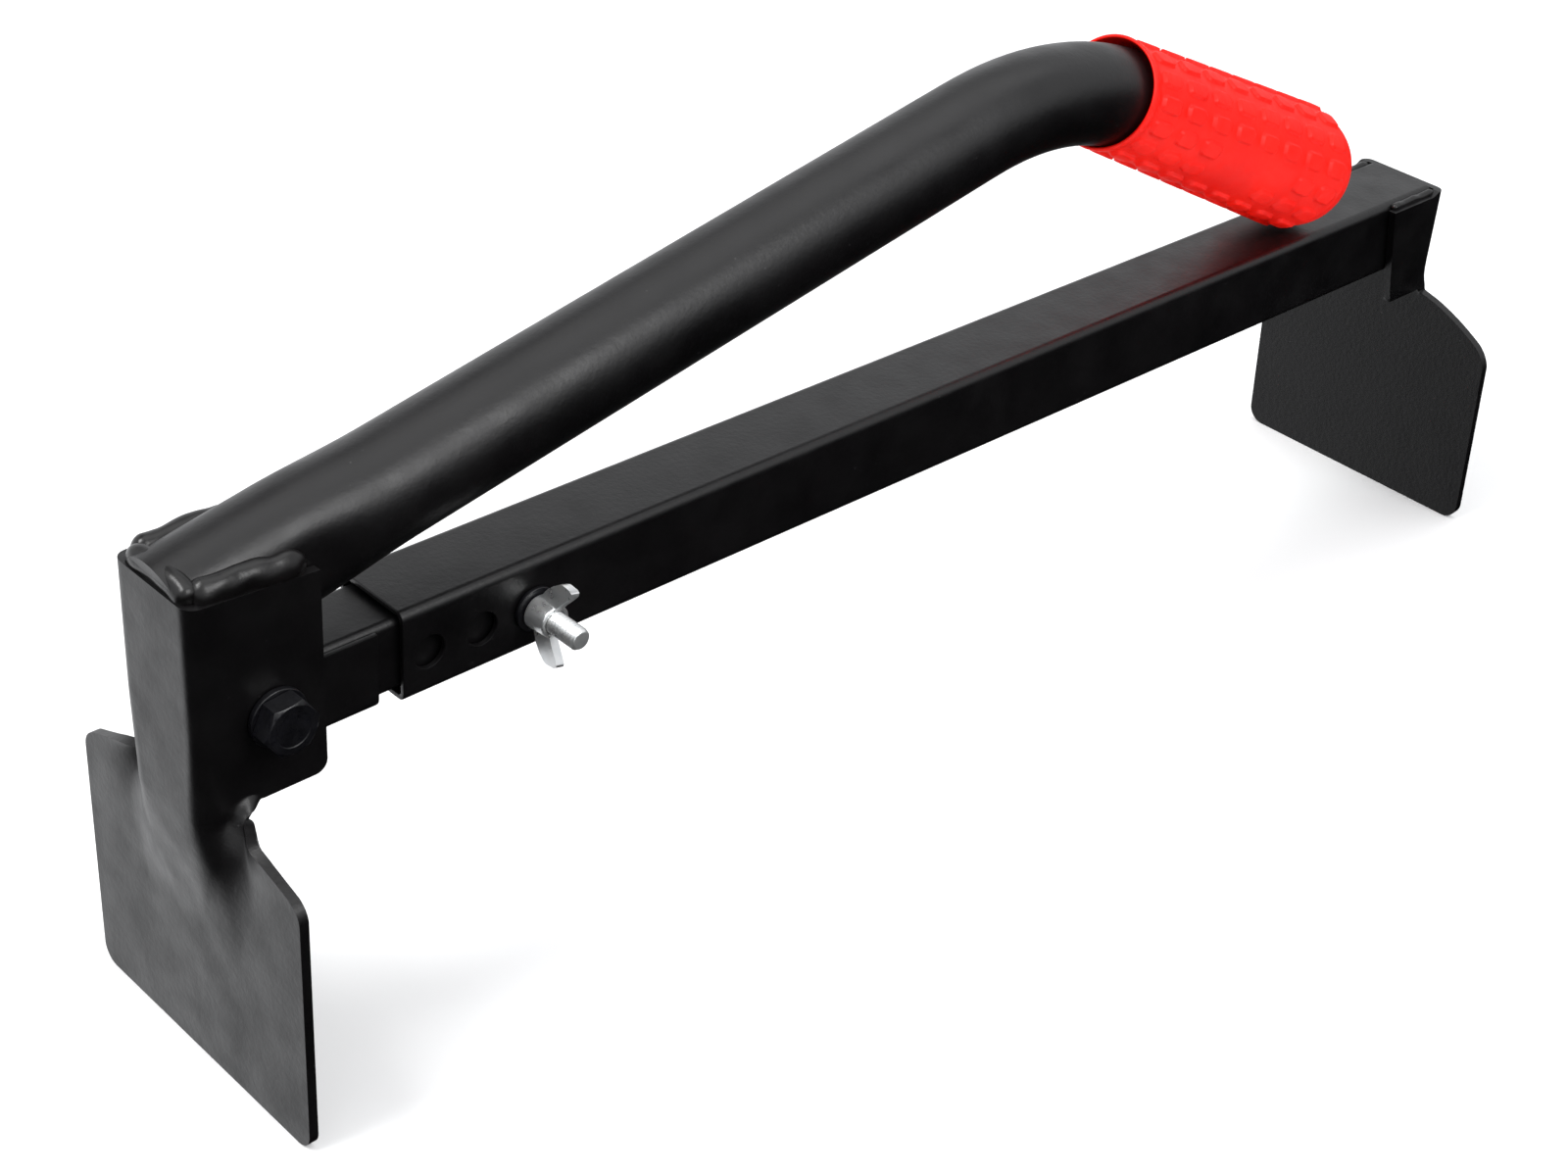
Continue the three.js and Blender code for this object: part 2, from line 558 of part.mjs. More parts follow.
const WING_TURN = 77;            // degrees, how the wings stand at rest
const hubBase = backOut + GAP;
const wingOutline = [
  [2, -hubBase - 0.8], [5.4, -hubBase - 0.8], [10, -19.6], [10.6, -21.4], [10.4, -24.2],
  [9.4, -25.6], [8, -24.6], [5.2, -21.5], [2, -20.4],
];
const wingPlate = (side) => {
  const plate = new THREE.ExtrudeGeometry(
    outline(wingOutline.map(([r, y]) => [side * r, y])),
    { depth: 2, bevelEnabled: false },
  );
  plate.translate(0, 0, -1);
  plate.rotateY(-WING_TURN * DEG);
  plate.translate(LOCK_X, 0, LOCK_Z);
  return solid(plate);
};
const hub = new THREE.CylinderGeometry(4.7, 4.2, 6.7, 24);
hub.translate(LOCK_X, -hubBase - 3.35, LOCK_Z);
add('wing_nut', solid(hub).add(wingPlate(1)).add(wingPlate(-1))
  .subtract(crossPin(3.3, LOCK_X, LOCK_Z, -40, 0)), ZINC);

// the middle of the tong's length, from the web of one jaw to the foot of the other
const bounds = new THREE.Box3().setFromObject(tong);
tong.position.x = -(bounds.min.x + bounds.max.x) / 2;

export default tong;
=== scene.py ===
"""Looks of an adjustable brick carrying tong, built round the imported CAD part.

Lengths in this file are millimetres in the tong's own frame: x from the mouth of the outer tube
towards the fixed jaw, y away from the pivot bolt's head, z up from the middle of the bar.
place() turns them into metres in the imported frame.
"""
import math

import bmesh
import bpy
from mathutils import Matrix, Vector, noise


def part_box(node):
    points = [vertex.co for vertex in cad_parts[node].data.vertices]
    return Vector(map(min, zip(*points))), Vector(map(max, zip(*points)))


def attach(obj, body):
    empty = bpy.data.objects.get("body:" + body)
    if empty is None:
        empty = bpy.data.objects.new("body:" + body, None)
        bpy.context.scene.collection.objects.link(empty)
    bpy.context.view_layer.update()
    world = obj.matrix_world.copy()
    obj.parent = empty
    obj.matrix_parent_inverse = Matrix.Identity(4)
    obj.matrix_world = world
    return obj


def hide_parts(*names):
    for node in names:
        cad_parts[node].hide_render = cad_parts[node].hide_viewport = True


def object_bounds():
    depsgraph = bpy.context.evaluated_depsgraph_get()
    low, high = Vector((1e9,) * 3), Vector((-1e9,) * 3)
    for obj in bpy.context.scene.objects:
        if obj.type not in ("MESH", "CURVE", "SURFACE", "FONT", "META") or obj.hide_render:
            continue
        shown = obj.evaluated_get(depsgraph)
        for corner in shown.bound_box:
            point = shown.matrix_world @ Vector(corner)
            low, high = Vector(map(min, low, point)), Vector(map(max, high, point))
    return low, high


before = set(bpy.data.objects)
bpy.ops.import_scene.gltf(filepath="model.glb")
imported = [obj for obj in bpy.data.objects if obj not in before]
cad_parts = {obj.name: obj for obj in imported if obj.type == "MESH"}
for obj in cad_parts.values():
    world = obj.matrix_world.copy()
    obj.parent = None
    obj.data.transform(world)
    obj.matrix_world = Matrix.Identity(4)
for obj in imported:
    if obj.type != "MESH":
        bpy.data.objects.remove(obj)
cad_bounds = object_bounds()

MM = 0.001
tube_low, tube_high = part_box("outer_tube")
MOUTH_X = tube_low[0]
AXIS_Z = (tube_low[2] + tube_high[2]) / 2

SHEET = 2.5
BLADE_BOTTOM = -AXIS_Z / MM
TUBE_HALF = 12.5
TUBE_LENGTH = (tube_high[0] - tube_low[0]) / MM
BAR_START, BAR_END = [(corner[0] - MOUTH_X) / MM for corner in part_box("inner_bar")]
PIVOT_X, PIVOT_Z = -37.0, 2.3
LOCK_X, LOCK_Z = 38.5, -0.8
LOCK_HOLES = (7.5, 23.0, LOCK_X)
LOCK_HOLE_RADIUS = 4.5
PIVOT_HOLE_RADIUS = 4.3
SLOT_START, SLOT_END, SLOT_RADIUS = LOCK_X - 7, LOCK_X + 251, 3.5
TUBE_WALL = 1.5
TUBE_LIP = 0.35              # rounding of a tube's cut ends
M8_ACROSS, M8_PITCH = 13.0, 1.25
M6_ACROSS, M6_PITCH = 10.0, 1.0


def place(x, y, z):
    return Vector((MOUTH_X + x * MM, y * MM, AXIS_Z + z * MM))


def ease(value):
    value = min(max(value, 0.0), 1.0)
    return value * value * (3 - 2 * value)


def mix(a, b, share):
    return a + (b - a) * share


# ---- materials ---------------------------------------------------------------------------
class Surface:
    """A node material with noise in object space, so that it stays put when a piece moves."""

    def __init__(self, name, **sockets):
        self.material = bpy.data.materials.new(name)
        self.material.use_nodes = True
        self.tree = self.material.node_tree
        self.shader = self.tree.nodes["Principled BSDF"]
        self.place = self.tree.nodes.new("ShaderNodeTexCoord").outputs["Object"]
        for socket, value in sockets.items():
            self.shader.inputs[socket.replace("_", " ")].default_value = value

    def noise(self, scale, detail=2.0, stretch=None, roughness=0.5):
        node = self.tree.nodes.new("ShaderNodeTexNoise")
        node.inputs["Scale"].default_value = scale
        node.inputs["Detail"].default_value = detail
        node.inputs["Roughness"].default_value = roughness
        source = self.place
        if stretch:
            mapping = self.tree.nodes.new("ShaderNodeMapping")
            mapping.inputs["Scale"].default_value = stretch
            self.tree.links.new(source, mapping.inputs["Vector"])
            source = mapping.outputs["Vector"]
        self.tree.links.new(source, node.inputs["Vector"])
        return node.outputs["Fac"]

    def specks(self, scale, low, high):
        """1 inside small scattered spots, 0 elsewhere."""
        node = self.tree.nodes.new("ShaderNodeTexVoronoi")
        node.inputs["Scale"].default_value = scale
        self.tree.links.new(self.place, node.inputs["Vector"])
        return self.ramp(node.outputs["Distance"], low, high, 1.0, 0.0)

    def ramp(self, source, low, high, at_low, at_high):
        node = self.tree.nodes.new("ShaderNodeMapRange")
        for socket, value in (("From Min", low), ("From Max", high), ("To Min", at_low), ("To Max", at_high)):
            node.inputs[socket].default_value = value
        self.tree.links.new(source, node.inputs["Value"])
        return node.outputs["Result"]

    def times(self, one, other):
        node = self.tree.nodes.new("ShaderNodeMath")
        node.operation = "MULTIPLY"
        self.tree.links.new(one, node.inputs[0])
        if isinstance(other, float):
            node.inputs[1].default_value = other
        else:
            self.tree.links.new(other, node.inputs[1])
        return node.outputs["Value"]

    def colours(self, source, *stops):
        node = self.tree.nodes.new("ShaderNodeValToRGB")
        elements = node.color_ramp.elements
        while len(elements) < len(stops):
            elements.new(0.5)
        for element, (position, colour) in zip(elements, stops):
            element.position = position
            element.color = (*colour, 1)
        self.tree.links.new(source, node.inputs["Fac"])
        return node.outputs["Color"]

    def blend(self, share, first, second):
        node = self.tree.nodes.new("ShaderNodeMix")
        node.data_type = "RGBA"
        self.tree.links.new(share, node.inputs["Factor"])
        for socket, value in ((node.inputs[6], first), (node.inputs[7], second)):
            if isinstance(value, tuple):
                socket.default_value = (*value, 1)
            else:
                self.tree.links.new(value, socket)
        return node.outputs[2]

    def bump(self, height, distance, strength=1.0):
        node = self.tree.nodes.new("ShaderNodeBump")
        node.inputs["Strength"].default_value = strength
        node.inputs["Distance"].default_value = distance
        self.tree.links.new(height, node.inputs["Height"])
        if self.shader.inputs["Normal"].is_linked:
            before = self.shader.inputs["Normal"].links[0].from_socket
            self.tree.links.new(before, node.inputs["Normal"])
        self.tree.links.new(node.outputs["Normal"], self.shader.inputs["Normal"])

    def feed(self, socket, source):
        self.tree.links.new(source, self.shader.inputs[socket])


def powder_coat(name, dark, light, rough_low, rough_high, peel):
    surface = Surface(name, Specular_IOR_Level=0.46)
    cloud = surface.noise(26, 3)
    grain = surface.noise(1500, 2)
    shade = surface.colours(cloud, (0.35, dark), (0.65, light))
    dust = surface.times(surface.specks(230, 0.0, 0.07), surface.ramp(surface.noise(60), 0.52, 0.6, 0, 0.5))
    surface.feed("Base Color", surface.blend(dust, shade, (0.09, 0.088, 0.09)))
    surface.feed("Roughness", surface.ramp(surface.noise(90, 4), 0.3, 0.7, rough_low, rough_high))
    surface.bump(surface.noise(620, 3), peel)
    surface.bump(grain, peel * 0.35)
    return surface.material


def black_oxide(name):
    surface = Surface(name, Metallic=0.1, Specular_IOR_Level=0.5)
    surface.feed("Base Color", surface.colours(
        surface.noise(240, 4), (0.3, (0.0014, 0.0014, 0.0022)), (0.7, (0.005, 0.005, 0.007))))
    surface.feed("Roughness", surface.ramp(surface.noise(900, 3), 0.3, 0.7, 0.27, 0.44))
    surface.bump(surface.noise(1400, 3), 0.00003)
    return surface.material


def bright_zinc(name):
    surface = Surface(name, Metallic=0.9)
    tint = surface.colours(
        surface.noise(160, 3),
        (0.3, (0.8, 0.82, 0.83)), (0.55, (0.9, 0.91, 0.91)), (0.75, (0.88, 0.87, 0.83)))
    stains = surface.times(surface.specks(300, 0.0, 0.1), 0.2)
    surface.feed("Base Color", surface.blend(stains, tint, (0.42, 0.42, 0.41)))
    surface.feed("Roughness", surface.ramp(surface.noise(500, 3), 0.3, 0.7, 0.25, 0.38))
    surface.bump(surface.noise(900, 2), 0.00001)
    return surface.material


def red_vinyl(name):
    surface = Surface(
        name, Specular_IOR_Level=0.25, Subsurface_Weight=0.06, Subsurface_Scale=0.002)
    cloud = surface.colours(
        surface.noise(45, 4), (0.3, (0.78, 0.0045, 0.001)), (0.7, (0.9, 0.008, 0.002)))
    spots = surface.times(surface.specks(350, 0.0, 0.09), surface.ramp(surface.noise(80), 0.5, 0.62, 0, 0.5))
    surface.feed("Base Color", surface.blend(spots, cloud, (0.6, 0.01, 0.006)))
    surface.feed("Roughness", surface.ramp(surface.noise(300, 4), 0.3, 0.7, 0.34, 0.5))
    surface.bump(surface.noise(900, 3), 0.00005)
    surface.bump(surface.noise(160, 2), 0.0001, 0.5)
    return surface.material


def nylon(name):
    surface = Surface(name, Specular_IOR_Level=0.45)
    surface.feed("Base Color", surface.colours(
        surface.noise(400, 3), (0.3, (0.02, 0.05, 0.2)), (0.7, (0.035, 0.08, 0.27))))
    surface.feed("Roughness", surface.ramp(surface.noise(800), 0.3, 0.7, 0.4, 0.55))
    surface.bump(surface.noise(1500), 0.00003)
    return surface.material


COAT = powder_coat("black_powder_coat", (0.0014, 0.0012, 0.0015), (0.0027, 0.0023, 0.0027),
                   0.32, 0.44, 0.00006)
WELD = powder_coat("black_coated_weld", (0.0014, 0.0012, 0.0013), (0.003, 0.0024, 0.0026), 0.27, 0.4, 0.00006)
OXIDE = black_oxide("black_oxide_steel")
ZINC = bright_zinc("bright_zinc_plate")
RED = red_vinyl("red_soft_vinyl")
NYLON = nylon("blue_nylon")


# ---- mesh tools --------------------------------------------------------------------------
class Shell:
    """Points and faces of one surface, joined where grids meet."""

    def __init__(self):
        self.points = []
        self.faces = []

    def grid(self, rows, wrap=False):
        width = len(rows[0])
        first = len(self.points)
        for row in rows:
            self.points.extend(place(*point) for point in row)
        for r in range(len(rows) - 1):
            for c in range(width if wrap else width - 1):
                a = first + r * width + c
                b = first + r * width + (c + 1) % width
                self.faces.append((a, b, b + width, a + width))
        return self

    def cap(self, ring):
        first = len(self.points)
        self.points.extend(place(*point) for point in ring)
        self.faces.append(tuple(range(first, first + len(ring))))
        return self

    def object(self, name, join=0.02 * MM):
        mesh = bpy.data.meshes.new(name)
        mesh.from_pydata(self.points, [], self.faces)
        work = bmesh.new()
        work.from_mesh(mesh)
        bmesh.ops.remove_doubles(work, verts=work.verts, dist=join)
        bmesh.ops.dissolve_degenerate(work, dist=join / 4, edges=work.edges)
        bmesh.ops.recalc_face_normals(work, faces=work.faces)
        work.to_mesh(mesh)
        work.free()
        thing = bpy.data.objects.new(name, mesh)
        bpy.context.scene.collection.objects.link(thing)
        return thing


def modify(thing, kind, **settings):
    modifier = thing.modifiers.new(kind.lower(), kind)
    for key, value in settings.items():
        setattr(modifier, key, value)
    return modifier


def settle(thing):
    """Applies every modifier to the mesh."""
    depsgraph = bpy.context.evaluated_depsgraph_get()
    mesh = bpy.data.meshes.new_from_object(thing.evaluated_get(depsgraph), depsgraph=depsgraph)
    thing.modifiers.clear()
    old, thing.data = thing.data, mesh
    bpy.data.meshes.remove(old)
    return thing


def cut(thing, *tools):
    for tool in tools:
        modify(thing, "BOOLEAN", operation="DIFFERENCE", solver="EXACT", object=tool)
        settle(thing)
        bpy.data.objects.remove(tool)
    return thing


def shade(thing, angle=32):
    mesh = thing.data
    mesh.shade_smooth()
    mesh.set_sharp_from_angle(angle=math.radians(angle))


def soften(thing, width, segments=2, angle=40):
    """Rounds the edges sharper than angle."""
    modify(thing, "BEVEL", width=width * MM, segments=segments, limit_method="ANGLE",
           angle_limit=math.radians(angle), harden_normals=False, use_clamp_overlap=True)
    return settle(thing)


def finish(thing, material, body, nodes, angle=32, weigh=True):
    thing.data.materials.clear()
    thing.data.materials.append(material)
    shade(thing, angle)
    if weigh:
        modify(thing, "WEIGHTED_NORMAL", keep_sharp=True, weight=60)
        settle(thing)
    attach(thing, body)
    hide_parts(*nodes)
    return thing


def ring_y(radius, x, z, y, sides=64, turn=0.0):
    """A circle across Y."""
    points = []
    for k in range(sides):
        angle = 2 * math.pi * k / sides + turn
        points.append((x + radius * math.cos(angle), y, z + radius * math.sin(angle)))
    return points


def turned(name, profile, x, z, sides=64, closed=False):
    """A body turned about an axis along Y, from (radius, y) pairs."""
    rows = [ring_y(radius, x, z, y, sides) for radius, y in profile]
    if closed:
        rows.append(rows[0])
    return Shell().grid(rows, wrap=True).object(name)


def pin(radius, x, z, y0, y1, sides=56):
    shell = Shell()
    ends = [ring_y(radius, x, z, y, sides) for y in (y0, y1)]
    shell.grid(ends, wrap=True)
    for end in ends:
        shell.cap(end)
    return shell.object("cutter")


# ---- square tubes and the saddle ------------------------------------------------------------
def rounded_square(half, radius, steps=7):
    points = []
    for corner_y, corner_z, start in ((1, 1, 0), (-1, 1, 90), (-1, -1, 180), (1, -1, 270)):
        for k in range(steps + 1):
            angle = math.radians(start + 90 * k / steps)
            points.append((corner_y * (half - radius) + radius * math.cos(angle),
                           corner_z * (half - radius) + radius * math.sin(angle)))
    return points


def square_tube(name, half, radius, x0, x1):
    """A tube whose cut ends are slightly rounded."""
    inner_radius = max(radius - TUBE_WALL, 0.6)
    inner_half = half - TUBE_WALL
    outer, inner = [], []
    for end, inwards in ((x0, 1), (x1, -1)):
        for degrees in (0, 30, 60, 90):
            x = end + inwards * TUBE_LIP * (1 - math.sin(math.radians(degrees)))
            drop = TUBE_LIP * (1 - math.cos(math.radians(degrees)))
            outer.append([(x, y, z) for y, z in rounded_square(half - drop, radius - drop)])
            inner.append([(x, y, z) for y, z in rounded_square(inner_half + drop, inner_radius + drop)])
    # the outer skin runs to the far end and the inner skin comes back
    rows = sorted(outer, key=lambda row: row[0][0]) + sorted(inner, key=lambda row: -row[0][0])
    rows.append(rows[0])
    return Shell().grid(rows, wrap=True).object(name)


def outer_tube():
    tube = square_tube("outer_tube_skin", TUBE_HALF, 2.5, 0, TUBE_LENGTH)
    cut(tube, *[pin(LOCK_HOLE_RADIUS, x, LOCK_Z, -20, 20) for x in LOCK_HOLES])
    soften(tube, 0.25, 2, 60)
    finish(tube, COAT, "frame", ["outer_tube"])


def inner_bar():
    bar = square_tube("inner_bar_skin", 10, 2, BAR_START, BAR_END)
    slot = Shell()
    outline = []
    for centre, start in ((SLOT_END, -90), (SLOT_START, 90)):
        for k in range(13):
            angle = math.radians(start + 15 * k)
            outline.append((centre + SLOT_RADIUS * math.cos(angle), LOCK_Z + SLOT_RADIUS * math.sin(angle)))
    sides = [[(x, y, z) for x, z in outline] for y in (-15, 15)]
    slot.grid(sides, wrap=True).cap(sides[0]).cap(sides[1])
    cut(bar, slot.object("cutter"), pin(PIVOT_HOLE_RADIUS, PIVOT_X, PIVOT_Z, -15, 15))
    soften(bar, 0.2, 2, 60)
    finish(bar, COAT, "inner_arm", ["inner_bar"])


def pivot_saddle():
    """A strap folded round the sides and bottom of the bar."""
    thick, inside, top = 1.3, 10.3, 9.3
    middle = inside + thick / 2
    bend = 2.0
    half = [(middle, top), (middle, 3), (middle, -middle + bend)]
    for k in range(1, 8):
        angle = math.radians(90 * k / 7)
        half.append((middle - bend + bend * math.cos(angle), -middle + bend - bend * math.sin(angle)))
    half.append((0, -middle))
    section = half + [(-y, z) for y, z in half[-2::-1]]
    xs = [BAR_START, BAR_START + 12, -20, -6.3]
    strap = Shell().grid([[(x, y, z) for y, z in section] for x in xs]).object("pivot_saddle_strap")
    modify(strap, "SOLIDIFY", thickness=thick * MM, offset=0, use_even_offset=True)
    settle(strap)
    cut(strap, pin(PIVOT_HOLE_RADIUS, PIVOT_X, PIVOT_Z, -15, 15))
    soften(strap, 0.3, 2, 50)
    finish(strap, COAT, "inner_arm", ["pivot_saddle"])


# ---- pressed jaws ------------------------------------------------------------------------
def arc(radius, turn, steps):
    for k in range(1, steps + 1):
        angle = turn * k / steps
        yield radius * math.sin(angle), radius * (1 - math.cos(angle))


class SwingJaw:
    """Middle surface of the swinging jaw. inward is the distance from the web's place to the bricks."""

    outside, facing = -57.5, 1
    neck, flange_y, reach = -21.3, 13.85, 32.7
    corner_top, corner, bend, settle_in = 2.4, 4.0, 3.6, 8.0
    proud, fade, flare, flare_length = 5.1, 42.0, 3.7, 12.0
    half_width, shoulder_radius, foot_radius = 45.0, 4.0, 5.0
    bend_steps = 9
    relax_top, relax_rounds, root = -20.0, 16, (11.0, 16.5, -21.0)

    def top(self, inward):
        return 37.5 - 2.0 * inward / self.reach

    def ear_bottom(self, inward, start):
        root, tip, low = 3.6, 3.3, -19.2
        if inward < start + root:
            gap = (start + root - inward) / root
            return low - (low - self.neck) * (1 - math.sqrt(max(1 - gap * gap, 0)))
        over = (inward - (self.reach - tip)) / tip
        if over > 0:
            return low + tip * (1 - math.sqrt(max(1 - over * over, 0)))
        return low

    def half(self, side):
        return self.half_width

    def shoulder(self, y):
        dip = 1 - min(max(abs(y) - 18.4, 0) / 2.2, 1)
        slope = max(abs(y) - 24.0, 0)
        steepness = 0.41 if y > 0 else 0.31
        return self.neck - 0.6 * math.sqrt(1 - dip * dip) - steepness * slope ** 2 / (slope + 2.5)

    def frame_at(self, z):
        below = max(self.neck - z, 0)
        web = self.proud * ease(below / self.fade)
        flare = self.flare * (1 - ease(below / self.flare_length))
        depth = max(self.proud + flare - web, 0.01)
        share = min(depth / (self.proud + self.flare), 1)
        turn = math.radians(90) * share * (0.35 + 0.65 * share)
        room = 0.92 * depth / (1 - math.cos(turn))
        corner = min(self.corner + 0.6 * below, 0.47 * room)
        bend = min(self.bend + 2.0 * below, room - corner)
        wall = (depth - (corner + bend) * (1 - math.cos(turn))) / math.sin(turn)
        fold_y = max(self.flange_y * (1 - 0.88 * (below / self.fade) ** 1.7), 1.6)
        return web, turn, corner, bend, wall, fold_y

    def section(self, z):
        web, turn, corner, bend, wall, fold_y = self.frame_at(z)
        y = fold_y - corner * math.tan(turn / 2)
        points = [(web, y * part) for part in (0, 0.2, 0.4, 0.6, 0.8, 0.93, 1)]
        points += [(web + rise, y + run) for run, rise in arc(corner, turn, 6)]
        inward, y = points[-1]
        points += [(inward + wall * part * math.sin(turn), y + wall * part * math.cos(turn))
                   for part in (0.25, 0.5, 0.75, 1)]
        inward, y = points[-1]
        for k in range(1, self.bend_steps + 1):
            angle = turn * (1 - k / self.bend_steps)
            points.append((inward + bend * (math.cos(angle) - math.cos(turn)),
                           y + bend * (math.sin(turn) - math.sin(angle))))
        return points

    def wing(self, y, z):
        inward, start = self.section(z)[-1]
        return self.proud + (inward - self.proud) * (1 - ease((y - start) / self.settle_in))

    def core(self, z):
        points = self.section(min(z, self.neck))
        if z <= self.neck:
            return points
        # above the neck the bend opens until the flange is flat, and the corner gets tighter
        corner = mix(self.corner_top, self.corner, ease((6 - z) / (6 - self.neck)))
        y = self.flange_y - corner
        wall_end = points[-1 - self.bend_steps][0]
        points = [(0, y * part) for part in (0, 0.2, 0.4, 0.6, 0.8, 0.93, 1)]
        points += [(rise, y + run) for run, rise in arc(corner, math.radians(90), 6)]
        points += [(mix(corner, wall_end, part), self.flange_y) for part in (0.25, 0.5, 0.75, 1)]
        rolled = max(ease((-17.0 - z) / (-17.0 - self.neck)), 1e-4)
        radius = self.bend / rolled
        for k in range(1, self.bend_steps + 1):
            angle = math.radians(90) * rolled * k / self.bend_steps
            points.append((wall_end + radius * math.sin(angle),
                           self.flange_y + radius * (1 - math.cos(angle))))
        return points

    def blade(self, inward, z):
        return inward


class FixedJaw(SwingJaw):
    """The fixed jaw: its blade is in the plane of the web and leans away from the bricks."""

    outside, facing = 408.3, -1
    neck, flange_y = -24.2, 14.3
    corner = 1.6
    shoulder_radius, foot_radius = 4.5, 5.5
    relax_top, relax_rounds, root = -14.0, 8, (1.5, 16.0, -23.0)

    def top(self, inward):
        if inward < 1.5:
            return 12.0
        return mix(12.0, 10.8, ease((inward - 1.5) / 3))

    def end(self, z):
        return mix(26.4, 19.8, (11 - z) / 33.5) - SHEET / 2

    def ear_bottom(self, inward, start):
        root = 1.5
        if inward < start + root:
            gap = (start + root - inward) / root
            return -22.6 - (-22.6 - self.neck) * (1 - math.sqrt(max(1 - gap * gap, 0)))
        return -22.6

    def half(self, side):
        return self.half_width if side > 0 else self.half_width - 1.6

    def shoulder(self, y):
        over = max(abs(y) - 17.0, 0)
        return self.neck - 0.25 * over - 0.0095 * over * over

    def lean(self, z):
        below = max(-14 - z, 0)
        return -0.0717 * below * ease((below + 1) / 4)

    def section(self, z):
        flat = ease((-16.0 - z) / 9.0)
        y = self.flange_y - self.corner
        points = [(0, y * part) for part in (0, 0.2, 0.4, 0.6, 0.8, 0.93, 1)]
        length = self.corner * math.pi / 2
        for k in range(1, 9):
            turn = math.radians(90) * (1 - flat) + 1e-4
            angle = turn * k / 8
            radius = length / turn
            points.append((radius * (1 - math.cos(angle)), y + radius * math.sin(angle)))
        return points

    def core(self, z):
        return self.section(z)

    def wing(self, y, z):
        inward, start = self.section(z)[-1]
        return inward * (1 - ease((y - start) / 5.0))

    def blade(self, inward, z):
        return inward + self.lean(z)


def spot(jaw, inward, y, z):
    return (jaw.outside + jaw.facing * (jaw.blade(inward, z) + SHEET / 2), y, z)


def corner_round(along, down, radius):
    """Moves a point near a square corner so that the corner becomes a quarter circle."""
    if along >= radius or down >= radius:
        return along, down
    a = 1 - along / radius
    b = 1 - down / radius
    return (radius * (1 - a * math.sqrt(1 - b * b / 2)), radius * (1 - b * math.sqrt(1 - a * a / 2)))


def relax(sheet, jaw):
    """Evens out the formed part of a sheet below its flanges, and the root of each notch."""
    work = bmesh.new()
    work.from_mesh(sheet.data)
    shares = []
    for vertex in work.verts:
        y, z = abs(vertex.co.y) / MM, (vertex.co.z - AXIS_Z) / MM
        formed = ease((jaw.relax_top - z) / 6) * ease((36 - y) / 10) * ease((z + 85) / 15)
        inward = jaw.facing * ((vertex.co.x - MOUTH_X) / MM - jaw.outside)
        root = ease((5.5 - math.dist((inward, y, z), jaw.root)) / 3)
        formed = root if vertex.is_boundary else max(formed, root)
        if formed > 0:
            shares.append((vertex, 0.5 * formed))
    for _ in range(jaw.relax_rounds):
        moved = []
        for vertex, share in shares:
            if vertex.is_boundary:
                near = [e.other_vert(vertex).co for e in vertex.link_edges if e.is_boundary]
            else:
                near = [e.other_vert(vertex).co for e in vertex.link_edges]
            moved.append(vertex.co.lerp(sum(near, Vector()) / len(near), share))
        for (vertex, _), place_now in zip(shares, moved):
            vertex.co = place_now
    work.to_mesh(sheet.data)
    work.free()


